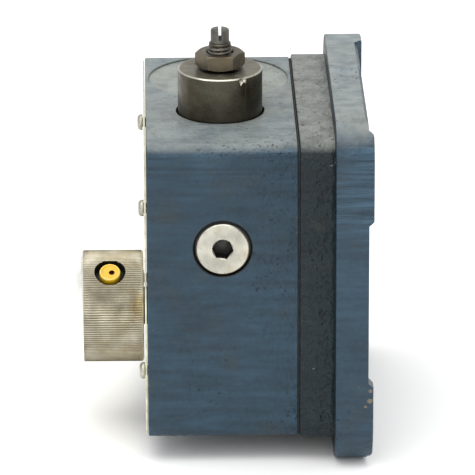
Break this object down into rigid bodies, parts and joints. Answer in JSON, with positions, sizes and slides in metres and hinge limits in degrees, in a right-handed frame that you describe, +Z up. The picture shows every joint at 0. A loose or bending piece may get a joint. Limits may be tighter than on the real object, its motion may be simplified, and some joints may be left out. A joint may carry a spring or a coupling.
{
  "type": "right angle bevel gearbox",
  "caption": "Compact right angle bevel gearbox: blue cast housing with a square mounting flange, a knurled hand knob on the input shaft and a steel hub on the vertical output shaft.",
  "frame": {"origin": "centre of the bounding box at its lowest plane, under the centre of the square flange", "axes": "+X along the input shaft towards the mounting pads of the flange, +Z up along the output shaft, -Y towards the face with the level plug"},
  "size_m": [0.1168, 0.14, 0.164],
  "materials": {
    "blue_painted_iron": "satin grey-blue enamel over sand-cast iron",
    "cover_plate_paint": "worn pale enamel",
    "gasket_paper": "oiled fibre",
    "black_rubber": "matt",
    "turned_aluminium": "turned and knurled, stained with use",
    "yellow_plastic": "moulded",
    "bearing_steel": "ground",
    "plated_steel": "dull plated",
    "dark_steel": "turned, darkened with oil"
  },
  "bodies": {
    "root": {"bearing_spacer": "dark_steel", "cover_screw_1": "plated_steel", "cover_screw_2": "plated_steel", "cover_screw_3": "plated_steel", "cover_screw_4": "plated_steel", "drain_plug": "plated_steel", "drain_plug_seal": "black_rubber", "fill_plug": "turned_aluminium", "fill_plug_seal": "black_rubber", "flange_casting": "blue_painted_iron", "flange_screw_1": "dark_steel", "flange_screw_2": "dark_steel", "flange_screw_3": "dark_steel", "flange_screw_4": "dark_steel", "gear_housing": "blue_painted_iron", "input_left_ball_cage": "bearing_steel", "input_left_outer_race": "bearing_steel", "input_right_ball_cage": "bearing_steel", "input_right_outer_race": "bearing_steel", "input_seal": "black_rubber", "level_plug": "turned_aluminium", "level_plug_seal": "black_rubber", "output_circlip": "dark_steel", "output_lower_ball_cage": "bearing_steel", "output_lower_outer_race": "bearing_steel", "output_seal": "black_rubber", "output_upper_ball_cage": "bearing_steel", "output_upper_outer_race": "bearing_steel", "parting_gasket": "gasket_paper", "side_cover": "cover_plate_paint"},
    "input": {"input_shaft": "dark_steel", "bevel_pinion": "dark_steel", "pinion_key": "bearing_steel", "input_left_inner_race": "bearing_steel", "input_right_inner_race": "bearing_steel", "hand_knob": "turned_aluminium", "knob_set_screw": "dark_steel", "knob_plug": "yellow_plastic"},
    "output": {"output_shaft": "dark_steel", "bevel_gear": "dark_steel", "gear_key": "bearing_steel", "hub_key": "bearing_steel", "output_lower_inner_race": "bearing_steel", "output_upper_inner_race": "bearing_steel", "output_hub": "dark_steel", "seal_washer": "black_rubber", "lock_nut": "plated_steel", "draw_stud": "plated_steel"}
  },
  "joints": [
    {"name": "output_spin", "type": "hinge", "parent": "root", "child": "output", "pos_m": [0, -0.014, 0.1], "axis": [0, 0, 1], "continuous": true},
    {"name": "input_spin", "type": "hinge", "parent": "root", "child": "input", "pos_m": [0, -0.014, 0.049], "axis": [1, 0, 0], "continuous": true}
  ],
  "couplings": [
    {"joint": "input_spin", "follows": "output_spin", "ratio": -1}
  ]
}
